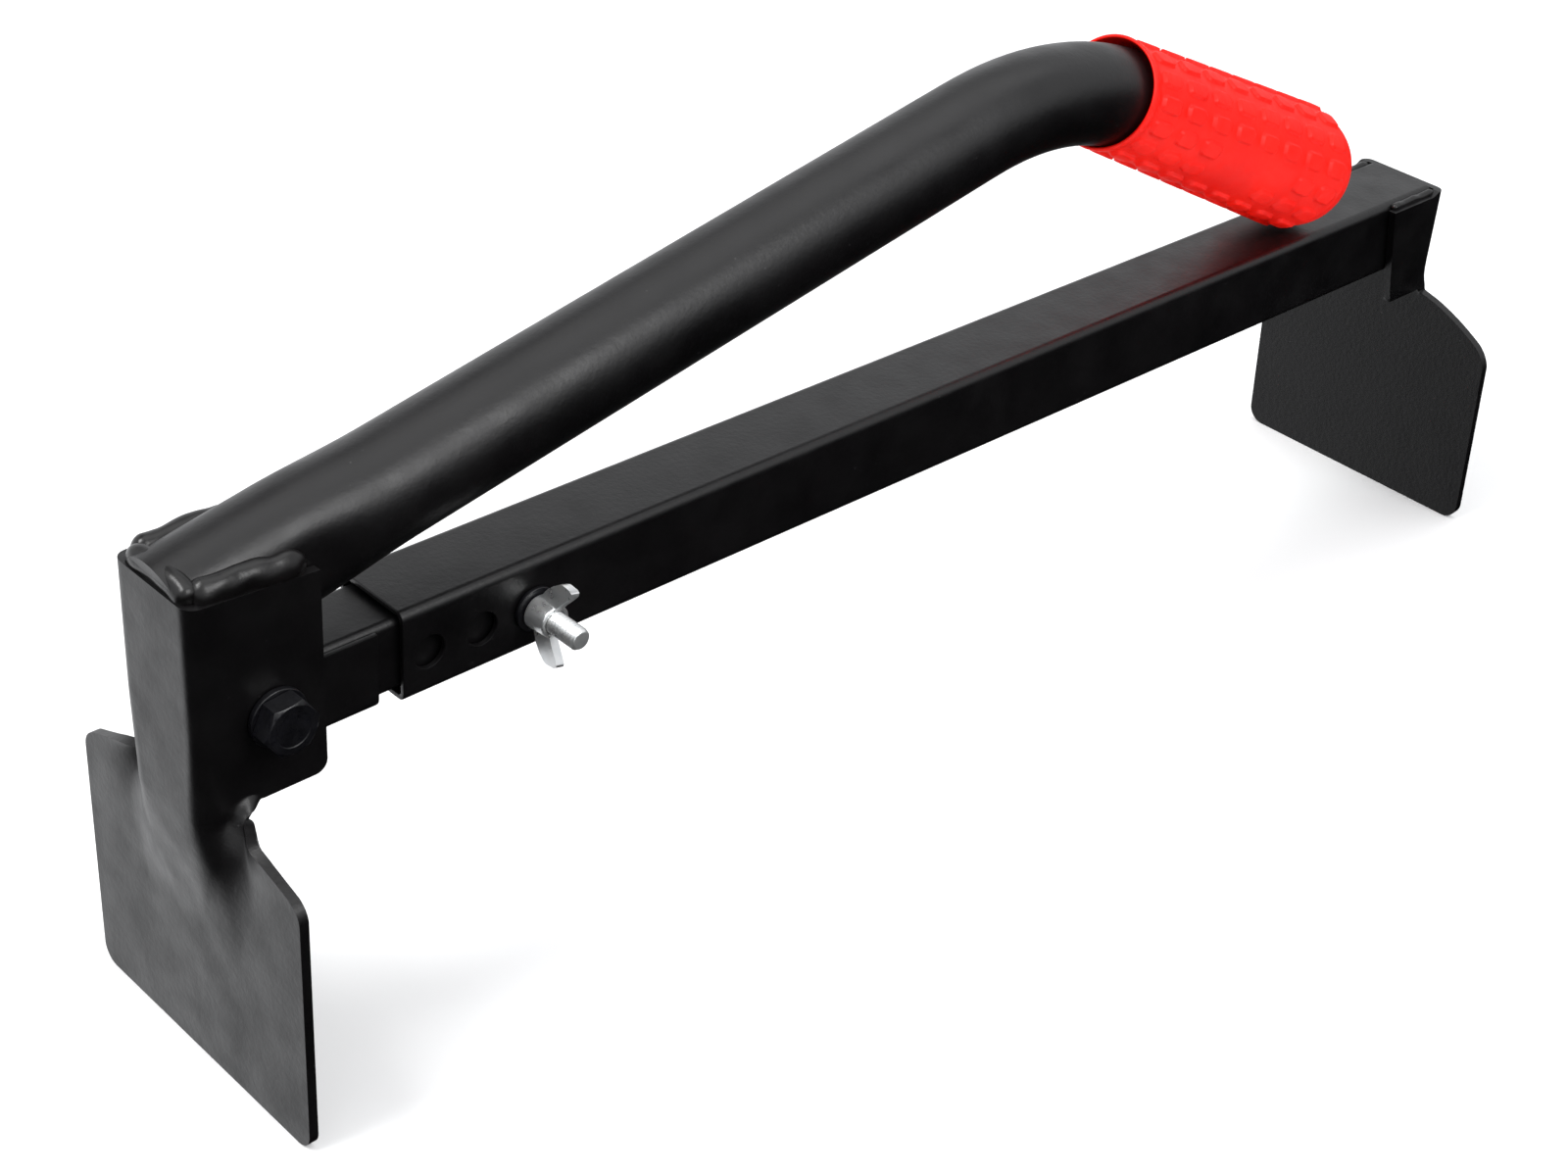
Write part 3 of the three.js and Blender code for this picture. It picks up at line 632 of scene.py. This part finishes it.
def jaw_surface(name, jaw):
    shell = Shell()
    split = jaw.neck + 8
    upper = [k / 9 for k in range(10)]
    lower = [0.15, 0.3, 0.42, 0.51, 0.59, 0.66, 0.73, 0.8, 0.86, 0.92, 0.97, 1.0]
    for side in (-1, 1):
        half = jaw.half(side)
        # web, corner and wall above the neck
        core_rows = []
        count = len(jaw.core(jaw.neck))
        for part in upper:
            row = []
            for k in range(count):
                inward = jaw.core(0)[k][0]
                z = mix(jaw.top(inward), split, part)
                inward, y = jaw.core(z)[k]
                row.append(spot(jaw, inward, side * y, z))
            core_rows.append(row)
        for part in lower:
            z = mix(split, jaw.neck, part)
            core_rows.append([spot(jaw, inward, side * y, z) for inward, y in jaw.core(z)])
        shell.grid(core_rows)

        # the flange beyond the core, down to the ear's bottom
        offsets = [0, 0.15, 0.4, 0.75, 1.15, 1.65, 2.2, 2.9, 3.6, 4.5, 5.5]
        last = jaw.core(0)[-1][0]
        tail = [3.3, 2.6, 1.9, 1.2, 0.6, 0.2, 0]
        ear_rows = [[] for _ in range(len(upper) + len(lower))]
        limit = jaw.reach if jaw.facing > 0 else jaw.end(0)
        spans = offsets + [mix(5.5, limit - last - 3.3, part) for part in (0.2, 0.4, 0.6, 0.8)]
        spans += [limit - last - rest for rest in tail]
        for span in spans:
            inward = last + span
            bottom = jaw.ear_bottom(inward, last)
            level = mix(split, bottom + 2.6, ease(span / 6))
            heights = [mix(jaw.top(inward), level, part) for part in upper]
            heights += [mix(level, bottom, part) for part in lower]
            for index, z in enumerate(heights):
                edge_inward, edge_y = jaw.core(z)[-1]
                y = mix(edge_y, jaw.flange_y, ease(span / 3.8))
                reach = inward
                if jaw.facing < 0:
                    reach = edge_inward + span * (jaw.end(z) - edge_inward) / (limit - last)
                elif span < 6:
                    reach = mix(edge_inward, last, ease(span / 6)) + span
                ear_rows[index].append(spot(jaw, reach, side * y, z))
        shell.grid(ear_rows)

        # blade: web and wall fading out, then the wing
        drops = [0, 0.6, 1.3, 2.1, 3, 4, 5.2, 6.6, 8.2, 10, 12, 14.5, 17.5, 21, 25, 29, 33, 37, 41, 45, 50]
        floor = BLADE_BOTTOM
        levels = [jaw.neck - drop for drop in drops if jaw.neck - drop > floor + 14]
        levels += [floor + rest for rest in (12, 9, 6.8, 5.5, 4.4, 3.3, 2.3, 1.4, 0.7, 0.2, 0)]
        blade_rows = []
        for level in levels:
            points = jaw.section(level)
            row = [(inward, y, level) for inward, y in points]
            begin = points[-1][1]
            inner_edge = half - 6.5
            stops = [mix(begin, inner_edge, part)
                     for part in (0.015, 0.04, 0.08, 0.13, 0.2, 0.3, 0.42, 0.55, 0.7, 0.85, 1)]
            stops += [half - rest for rest in (5.4, 4.3, 3.3, 2.3, 1.4, 0.7, 0.2, 0)]
            for y in stops:
                crest = jaw.shoulder(side * y)
                down = (jaw.neck - level) * (crest - floor) / (jaw.neck - floor)
                edge, down = corner_round(half - y, down, jaw.shoulder_radius)
                z = jaw.shoulder(side * (half - edge)) - down
                edge, rise = corner_round(edge, z - floor, jaw.foot_radius)
                y, z = half - edge, floor + rise
                row.append((jaw.wing(y, z), y, z))
            blade_rows.append([spot(jaw, inward, side * y, z) for inward, y, z in row])
        shell.grid(blade_rows)
    sheet = shell.object(name, join=0.03 * MM)
    relax(sheet, jaw)
    modify(sheet, "SOLIDIFY", thickness=SHEET * MM, offset=0)
    settle(sheet)
    return sheet


def jaws():
    swing = jaw_surface("swing_jaw_sheet", SwingJaw())
    soften(swing, 0.55, 3, 50)
    finish(swing, COAT, "swing_arm", ["swing_jaw"])
    fixed = jaw_surface("fixed_jaw_sheet", FixedJaw())
    soften(fixed, 0.55, 3, 50)
    finish(fixed, COAT, "frame", ["fixed_jaw"])


# ---- handle and grip ---------------------------------------------------------------------
HANDLE_RADIUS = 14.0
SLOPE_UP = math.radians(12)
SLOPE_DOWN = math.radians(-26)
HANDLE_Z0 = 39.3
BEND_X, BEND_RADIUS = 227.6, 102.0
BEND_Z = HANDLE_Z0 + math.tan(SLOPE_UP) * BEND_X
GRIP_X = 330.0
GRIP_Z = BEND_Z + math.tan(SLOPE_DOWN) * (GRIP_X - BEND_X)


def handle_point(x_start, travelled):
    """Place and slope of the handle's axis after some length from x_start."""
    tangent = BEND_RADIUS * math.tan((SLOPE_UP - SLOPE_DOWN) / 2)
    first = (BEND_X - x_start) / math.cos(SLOPE_UP) - tangent
    arc_length = BEND_RADIUS * (SLOPE_UP - SLOPE_DOWN)
    straight = min(travelled, first)
    turned_by = min(max(travelled - first, 0), arc_length) / BEND_RADIUS
    last = max(travelled - first - arc_length, 0)
    slope = SLOPE_UP - turned_by
    x = (x_start + straight * math.cos(SLOPE_UP) + last * math.cos(SLOPE_DOWN)
         + BEND_RADIUS * (math.sin(SLOPE_UP) - math.sin(slope)))
    z = (HANDLE_Z0 + math.tan(SLOPE_UP) * x_start + straight * math.sin(SLOPE_UP)
         + last * math.sin(SLOPE_DOWN) + BEND_RADIUS * (math.cos(slope) - math.cos(SLOPE_UP)))
    return x, z, slope


def handle_tube():
    """Bent round tube, its first end pressed narrower to fit between the flanges."""
    sides, start = 72, -54.6
    rows = []
    length = 0.0
    while length < 424:
        x, z, slope = handle_point(start, length)
        pressed = 1 - ease((x + 24) / 30)
        narrow = mix(15.5, 12.2, pressed)
        row = []
        for k in range(sides):
            angle = 2 * math.pi * k / sides
            y = HANDLE_RADIUS * math.sin(angle)
            excess = (abs(y) - narrow) / 0.7
            y = math.copysign(abs(y) - 0.7 * math.log1p(math.exp(excess)), y)
            up = HANDLE_RADIUS * math.cos(angle) * (1 + 0.11 * pressed)
            row.append((x - up * math.sin(slope), y, z + up * math.cos(slope)))
        rows.append(row)
        length += 1.6 if x < -4 else 4.0
    tube = Shell().grid(rows, wrap=True).cap(rows[0]).cap(rows[-1]).object("handle_tube_skin")
    finish(tube, COAT, "swing_arm", ["handle_tube"], weigh=False)


GRIP_MOUTH, GRIP_SHOULDER, GRIP_TIP = -92.0, 10.0, 31.0
PAD_PITCH, PAD_LENGTH, PAD_ROWS = 13.0, 8.4, 14
PAD_HEIGHT = 1.0


def grip_radius(along):
    radius = mix(16.2, 19.5, (along - GRIP_MOUTH) / (GRIP_SHOULDER - GRIP_MOUTH))
    if along <= GRIP_SHOULDER:
        return radius
    part = (along - GRIP_SHOULDER) / (GRIP_TIP - GRIP_SHOULDER)
    return 19.5 * max(1 - part ** 2.5, 0) ** 0.4


def pad(along, angle):
    """Height, from 0 to 1, of the raised pads on the grip."""
    first = GRIP_MOUTH + 10
    column = round((along - first) / PAD_PITCH)
    if not 0 <= column <= 7:
        return 0.0
    dx = abs(along - first - column * PAD_PITCH)
    pitch = 2 * math.pi / PAD_ROWS
    row = round(angle / pitch)
    dy = abs(angle - row * pitch) * 18.5
    centre = first + column * PAD_PITCH
    for plain in (1.92, -1.92):
        off = (row * pitch - plain + math.pi) % (2 * math.pi) - math.pi
        if math.hypot((centre + 32) / 20, off / 0.42) < 1:
            return 0.0
    half_length, half_width, round_off = PAD_LENGTH / 2, 2.5, 1.5
    ox = max(dx - half_length + round_off, 0)
    oy = max(dy - half_width + round_off, 0)
    outside = math.hypot(ox, oy) - round_off
    return ease(0.5 - outside / 0.6)


def handle_grip():
    """Soft closed sleeve with rows of raised pads, a rolled lip and a domed end."""
    sides = 308
    cos, sin = math.cos(SLOPE_DOWN), math.sin(SLOPE_DOWN)
    rows = []

    def ring(along, radius, pads):
        row = []
        for k in range(sides):
            angle = 2 * math.pi * k / sides
            r = radius - (PAD_HEIGHT * (1 - pad(along, angle)) if pads else 0)
            up, y = r * math.cos(angle), r * math.sin(angle)
            row.append((GRIP_X + along * cos - up * sin, y, GRIP_Z + along * sin + up * cos))
        rows.append(row)

    bore = HANDLE_RADIUS + 0.35
    ring(GRIP_MOUTH + 26, bore, False)
    ring(GRIP_MOUTH + 14, bore + 0.3, False)
    ring(GRIP_MOUTH + 4, bore + 0.85, False)
    for k in range(9):
        angle = math.pi * k / 8
        thick = (16.2 - bore - 0.85) / 2
        ring(GRIP_MOUTH + thick * (1 - math.sin(angle)), bore + 0.85 + thick * (1 - math.cos(angle)), False)
    along = GRIP_MOUTH + 1.5
    while along < GRIP_SHOULDER + 3:
        fade = ease((along - GRIP_MOUTH - 1.5) / 3)
        radius = grip_radius(along) + PAD_HEIGHT * (1 - fade) - 0.1 * (1 - fade)
        ring(along, radius, True)
        along += 0.5
    for k in range(1, 22):
        part = math.sin(math.radians(90) * k / 22)
        along = mix(GRIP_SHOULDER + 3, GRIP_TIP, part)
        ring(along, grip_radius(along), True)
    shell = Shell().grid(rows, wrap=True)
    tip = (GRIP_X + GRIP_TIP * cos, 0, GRIP_Z + GRIP_TIP * sin)
    shell.grid([rows[-1], [tip] * sides], wrap=True)
    grip = shell.object("handle_grip_sleeve", join=0.004 * MM)
    finish(grip, RED, "swing_arm", ["handle_grip"], angle=75, weigh=False)


# ---- welds -------------------------------------------------------------------------------
def bead(name, path, radius, seed, body, nodes, squash=1.0, sides=28):
    """A weld bead: a rod along path with lumps, ripples and rounded ends."""
    points = [Vector(point) for point in path]
    lengths = [0.0]
    for a, b in zip(points, points[1:]):
        lengths.append(lengths[-1] + (b - a).length)
    total = lengths[-1]
    steps = max(int(total / 0.45), 12)
    rows = []
    for step in range(steps + 1):
        at = total * step / steps
        index = max(k for k in range(len(lengths) - 1) if lengths[k] <= at + 1e-9)
        share = (at - lengths[index]) / (lengths[index + 1] - lengths[index])
        centre = points[index].lerp(points[index + 1], share)
        before = points[max(index - 1, 0)]
        after = points[min(index + 2, len(points) - 1)]
        tangent = (after - before).normalized()
        side = tangent.cross(Vector((0, 0, 1))).normalized()
        up = side.cross(tangent)
        end = min(at / (radius * 0.9), (total - at) / (radius * 2.2))
        size = radius * math.sqrt(max(1 - max(1 - end, 0) ** 2, 0.0004))
        size *= 1 + 0.1 * noise.noise(Vector((at * 0.13, seed, 0)))
        row = []
        for k in range(sides):
            angle = 2 * math.pi * k / sides
            lump = noise.noise(Vector((at * 0.22, seed + 1.2 * math.cos(angle), 1.2 * math.sin(angle))))
            r = size * (1 + 0.07 * lump)
            row.append(tuple(centre + side * (r * math.cos(angle)) + up * (r * squash * math.sin(angle))))
        rows.append(row)
    shell = Shell().grid(rows, wrap=True).cap(rows[0]).cap(rows[-1])
    finish(shell.object(name), WELD, body, nodes, angle=70, weigh=False)


def welds():
    for name, side, seed in (("handle_weld_front", -1, 3.1), ("handle_weld_back", 1, 8.4)):
        path = []
        for k in range(13):
            x = mix(-54.4, -25.2, k / 12)
            path.append((x, side * (mix(11.2, 12.1, k / 12) + 0.1 * math.sin(k * 1.3 + seed)),
                         mix(38.0, 37.2, k / 12) + 0.3 * math.sin(k * 0.9 + seed)))
        bead(name + "_bead", path, 3.4, seed, "swing_arm", [name], squash=1.3)
    path = []
    for k in range(13):
        y = mix(-12.4, 12.4, k / 12)
        path.append((-54.4, y, 37.6 + 2.3 * (1 - (y / 12.4) ** 2)))
    bead("handle_weld_end_bead", path, 2.8, 5.7, "swing_arm", ["handle_weld_end"], squash=1.15)
    for name, side, seed in (("fixed_jaw_weld_front", -1, 11.2), ("fixed_jaw_weld_back", 1, 14.9)):
        path = [(mix(383.5, 405.5, k / 8), side * 13.0, 11.2 + 0.2 * math.sin(k * 2.1)) for k in range(9)]
        bead(name + "_bead", path, 1.25, seed, "frame", [name])


# ---- fasteners ---------------------------------------------------------------------------
def hexagon(across, x, z, y_seat, y_face, turn, both=False, hollow=0.0):
    """Rows of a hexagon head or nut with the turned chamfer that leaves curved corners."""
    sides = 96
    out = 1 if y_face > y_seat else -1
    circle = across / 2 * 0.97

    def ring(radius_of, y_of):
        row = []
        for k in range(sides):
            angle = 2 * math.pi * k / sides
            part = (math.degrees(angle) % 60) - 30
            flat = across / 2 / math.cos(math.radians(part))
            radius = radius_of(flat)
            y = y_of(flat)
            row.append((x + radius * math.cos(angle + turn), y, z + radius * math.sin(angle + turn)))
        return row

    rise = math.tan(math.radians(30))
    rows = []
    if both:
        rows.append(ring(lambda flat: circle * 0.98, lambda flat: y_seat))
        rows.append(ring(lambda flat: circle, lambda flat: y_seat + out * 0.05))
        rows.append(ring(lambda flat: flat, lambda flat: y_seat + out * (0.05 + (flat - circle) * rise)))
    else:
        rows.append(ring(lambda flat: flat - 0.2, lambda flat: y_seat))
        rows.append(ring(lambda flat: flat, lambda flat: y_seat + out * 0.2))
    rows.append(ring(lambda flat: flat, lambda flat: y_face - out * (0.12 + (flat - circle) * rise)))
    rows.append(ring(lambda flat: flat - 0.1, lambda flat: y_face - out * (0.04 + (flat - circle) * rise)))
    rows.append(ring(lambda flat: circle, lambda flat: y_face - out * 0.03))
    rows.append(ring(lambda flat: circle - 0.2, lambda flat: y_face))
    if hollow:
        rows.append(ring(lambda flat: hollow, lambda flat: y_face))
    else:
        rows.append(ring(lambda flat: circle * 0.74, lambda flat: y_face))
        rows.append(ring(lambda flat: circle * 0.7, lambda flat: y_face - out * 0.16))
        rows.append(ring(lambda flat: circle * 0.3, lambda flat: y_face - out * 0.2))
        rows.append(ring(lambda flat: 0.01, lambda flat: y_face - out * 0.2))
    return rows


def threaded(radius, pitch, x, z, y_from, y_to, sides=48):
    """Rows of a screw thread along Y whose tip at y_to is chamfered."""
    depth = 0.62 * pitch
    way = 1 if y_to > y_from else -1
    count = int(abs(y_to - y_from) / (pitch / 10))
    rows = []
    for step in range(count + 1):
        y = mix(y_from, y_to, step / count)
        row = []
        for k in range(sides):
            angle = 2 * math.pi * k / sides
            phase = (y / pitch - k / sides) % 1
            ridge = abs(2 * phase - 1)
            r = radius - depth * min(max((ridge - 0.12) / 0.76, 0), 1)
            r = min(r, radius - depth * 1.1 + abs(y_to - y) * 1.1)
            fade = ease(abs(y - y_from) / pitch)
            r = mix(radius - depth * 0.5, r, fade)
            row.append((x + r * math.cos(angle), y, z + r * math.sin(angle)))
        rows.append(row)
    rows.append([(x + (point[0] - x) * 0.82, y_to + way * 0.1, z + (point[2] - z) * 0.82)
                 for point in rows[-1]])
    return rows


def washer(name, outer, bore, x, z, y0, y1, material, body, node):
    edge = 0.28
    profile = [(bore + edge, y0), (outer - edge, y0)]
    for a in (30, 60, 90):
        turn = math.radians(a)
        profile.append((outer - edge + edge * math.sin(turn), y0 + edge * (1 - math.cos(turn))))
    for a in (0, 30, 60, 90):
        turn = math.radians(a)
        profile.append((outer - edge + edge * math.cos(turn), y1 - edge + edge * math.sin(turn)))
    profile += [(bore + edge, y1), (bore, y1 - edge), (bore, y0 + edge)]
    ring = turned(name, profile, x, z, 72, closed=True)
    finish(ring, material, body, [node])


def y_span(node):
    low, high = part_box(node)
    return low[1] / MM, high[1] / MM


def pivot_hardware():
    head_out = y_span("pivot_bolt")[0]
    tip = y_span("pivot_bolt")[1]
    seat = y_span("pivot_washer_front")[0]
    rows = hexagon(M8_ACROSS, PIVOT_X, PIVOT_Z, seat - 0.05, head_out, math.radians(6))
    shell = Shell().grid(rows, wrap=True).cap(rows[0])
    nut_seat, nut_face = y_span("pivot_nut")
    shank = [ring_y(4.0, PIVOT_X, PIVOT_Z, y, 48) for y in (seat - 0.06, 12.0)]
    rows = shank + threaded(4.0, M8_PITCH, PIVOT_X, PIVOT_Z, 12.5, tip)
    shell.grid(rows, wrap=True).cap(rows[0]).cap(rows[-1])
    bolt = shell.object("pivot_bolt_m8")
    finish(bolt, OXIDE, "swing_arm", ["pivot_bolt"], angle=28)
    for name in ("pivot_washer_front", "pivot_washer_back"):
        y0, y1 = y_span(name)
        washer(name + "_ring", 7.5, 4.35, PIVOT_X, PIVOT_Z, y0, y1, OXIDE, "swing_arm", name)
    collar = nut_face - 1.6
    rows = hexagon(M8_ACROSS, PIVOT_X, PIVOT_Z, nut_seat, collar, math.radians(20), both=True, hollow=6.0)
    profile = [(5.95, collar + 0.3), (5.9, nut_face - 0.5), (5.7, nut_face - 0.15), (5.35, nut_face),
               (5.1, nut_face - 0.1), (5.05, nut_face - 0.6), (4.15, nut_face - 0.8), (4.15, nut_seat)]
    rows += [ring_y(r, PIVOT_X, PIVOT_Z, y, 96, math.radians(20)) for r, y in profile]
    rows.append(rows[0])
    nut = Shell().grid(rows, wrap=True).object("pivot_nut_m8")
    finish(nut, OXIDE, "swing_arm", ["pivot_nut"], angle=28)


def lock_hardware():
    head_in, head_out = y_span("lock_bolt_washer")[1], y_span("lock_bolt")[1]
    tip = y_span("lock_bolt")[0]
    rows = hexagon(M6_ACROSS, LOCK_X, LOCK_Z, head_in + 0.1, head_out, math.radians(10))
    shell = Shell().grid(rows, wrap=True).cap(rows[0])
    rows = [ring_y(2.95, LOCK_X, LOCK_Z, y, 48) for y in (head_in + 0.05, -6.0)]
    rows += threaded(2.95, M6_PITCH, LOCK_X, LOCK_Z, -6.6, tip)
    shell.grid(rows, wrap=True).cap(rows[0]).cap(rows[-1])
    bolt = shell.object("lock_bolt_m6")
    finish(bolt, ZINC, "frame", ["lock_bolt"], angle=40, weigh=False)
    y0, y1 = y_span("lock_bolt_washer")
    washer("lock_bolt_washer_ring", 7.0, 3.25, LOCK_X, LOCK_Z, y0, y1, ZINC, "frame",
           "lock_bolt_washer")
    # The clamp washer takes the black oxide finish instead of zinc: its dark colour is a painted dark
    # reflection.
    y0, y1 = y_span("clamp_washer")
    washer("clamp_washer_ring", 6.0, 3.25, LOCK_X, LOCK_Z, y0, y1, OXIDE, "clamp",
           "clamp_washer")


def wing_nut():
    """Cast wing nut: a tapered hub with two leaning ears, melted together."""
    y_tip, y_seat = y_span("wing_nut")
    hub_end = y_seat - 6.7
    profile = [(0.05, y_seat), (4.2, y_seat), (4.55, y_seat - 0.3), (4.6, y_seat - 1.0), (4.4, y_seat - 3.5),
               (4.2, hub_end + 0.4), (3.9, hub_end), (0.05, hub_end)]
    nut = turned("wing_nut_cast", profile, LOCK_X, LOCK_Z, 48)
    ear = [(2.2, y_seat - 0.9), (4.8, y_seat - 1.3), (7.0, y_seat - 2.6), (9.0, y_seat - 4.6),
           (10.3, y_seat - 6.6), (10.6, y_seat - 7.6), (10.4, y_seat - 10.4), (9.9, y_tip + 0.15),
           (9.2, y_tip + 0.1), (8.4, y_tip + 0.6), (6.8, y_seat - 9.4), (5.2, y_seat - 8.0),
           (3.9, y_seat - 7.1), (2.2, y_seat - 6.5)]
    turn = math.radians(77)
    for side in (-1, 1):
        plates = []
        for thick in (-1.25, 1.25):
            plates.append([(LOCK_X + side * r * math.cos(turn) - thick * math.sin(turn), y,
                            LOCK_Z + side * r * math.sin(turn) + thick * math.cos(turn)) for r, y in ear])
        plate = Shell().grid(plates, wrap=True).cap(plates[0]).cap(plates[1]).object("wing")
        modify(nut, "BOOLEAN", operation="UNION", solver="EXACT", object=plate)
        settle(nut)
        bpy.data.objects.remove(plate)
    cut(nut, pin(3.2, LOCK_X, LOCK_Z, y_seat - 12, y_seat + 3))
    soften(nut, 0.35, 3, 35)
    finish(nut, ZINC, "wing_nut", ["wing_nut"], angle=40)


# ---- build -------------------------------------------------------------------------------
outer_tube()
inner_bar()
pivot_saddle()
jaws()
handle_tube()
handle_grip()
welds()
pivot_hardware()
lock_hardware()
wing_nut()
for kept, material in (("pivot_sleeve", ZINC), ("pivot_nut_insert", NYLON)):
    for material_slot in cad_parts[kept].material_slots:
        material_slot.material = material


# ---- floor, light and camera ---------------------------------------------------------------
def floor():
    shell = Shell()
    shell.points = [Vector((x, y, 0)) for x, y in ((-8, -8), (8, -8), (8, 8), (-8, 8))]
    shell.faces = [(0, 1, 2, 3)]
    plane = shell.object("floor")
    plane.location.z = cad_bounds[0][2] - 0.0002
    surface = Surface("pale_floor", Roughness=0.9, Specular_IOR_Level=0.1)
    surface.feed("Base Color", surface.colours(
        surface.noise(3), (0.3, (0.9, 0.9, 0.9)), (0.7, (0.92, 0.92, 0.92))))
    plane.data.materials.append(surface.material)
    plane.visible_glossy = False


def studio():
    """A white studio: bright above, behind and to the left, dark low in front."""
    world = bpy.data.worlds.new("studio")
    world.use_nodes = True
    bpy.context.scene.world = world
    tree = world.node_tree
    background = tree.nodes["Background"]
    split = tree.nodes.new("ShaderNodeSeparateXYZ")
    tree.links.new(tree.nodes.new("ShaderNodeTexCoord").outputs["Generated"], split.inputs["Vector"])

    def ramp(source, low, high, at_low, at_high):
        node = tree.nodes.new("ShaderNodeMapRange")
        node.interpolation_type = "SMOOTHSTEP"
        for socket, value in (("From Min", low), ("From Max", high), ("To Min", at_low), ("To Max", at_high)):
            node.inputs[socket].default_value = value
        tree.links.new(source, node.inputs["Value"])
        return node.outputs["Result"]

    def join(operation, one, other):
        node = tree.nodes.new("ShaderNodeMath")
        node.operation = operation
        for socket, value in zip(node.inputs, (one, other)):
            tree.links.new(value, socket)
        return node.outputs["Value"]

    ahead, height = split.outputs["Y"], split.outputs["Z"]
    low_back = join("MULTIPLY", ramp(ahead, 0.3, 0.72, 0.0, 1.35), ramp(height, -0.2, 0.25, 1.0, 0.0))
    high = ramp(height, -0.1, 0.3, 0.0, 1.0)
    high_back = join("MULTIPLY", ramp(ahead, 0.0, 0.5, 0.0, 1.0), ramp(height, 0.3, 0.8, 1.1, 0.3))
    high_front = join("MULTIPLY", ramp(ahead, 0.0, 0.5, 0.85, 0.0), high)
    strength = join("ADD", join("ADD", join("MULTIPLY", high_back, high), high_front), low_back)
    tree.links.new(strength, background.inputs["Strength"])
    background.inputs["Color"].default_value = (0.97, 0.98, 1.0, 1)

    middle = (Vector(cad_bounds[0]) + Vector(cad_bounds[1])) / 2
    for name, offset, size, power in (
        ("key", (-1.0, 0.3, 1.4), 0.7, 22),
        ("top", (0.4, 0.2, 1.7), 1.6, 8),
        ("fill", (0.05, -1.2, 1.05), 0.8, 12),
    ):
        light = bpy.data.lights.new(name, "AREA")
        light.size = size
        light.energy = power
        lamp = bpy.data.objects.new(name, light)
        lamp.location = middle + Vector(offset)
        lamp.rotation_euler = (middle - lamp.location).to_track_quat("-Z", "Y").to_euler()
        bpy.context.scene.collection.objects.link(lamp)


def camera():
    azimuth, elevation, roll = math.radians(-45.31), math.radians(32.92), math.radians(4.26)
    back = Vector((math.sin(azimuth) * math.cos(elevation), -math.cos(azimuth) * math.cos(elevation),
                   math.sin(elevation)))
    right = Vector((0, 0, 1)).cross(back).normalized()
    up = back.cross(right)
    tilted_right = right * math.cos(roll) + up * math.sin(roll)
    tilted_up = up * math.cos(roll) - right * math.sin(roll)
    data = bpy.data.cameras.new("photo_angle")
    data.sensor_width = 36
    data.lens = 61.0
    data.clip_start = 0.01
    eye = bpy.data.objects.new("photo_angle", data)
    turn = Matrix((tilted_right, tilted_up, back)).transposed()
    eye.matrix_world = Matrix.Translation(place(-298.68, -430.40, 355.51)) @ turn.to_4x4()
    bpy.context.scene.collection.objects.link(eye)
    bpy.context.scene.camera = eye


floor()
studio()
camera()
bpy.context.scene.view_settings.view_transform = "Standard"
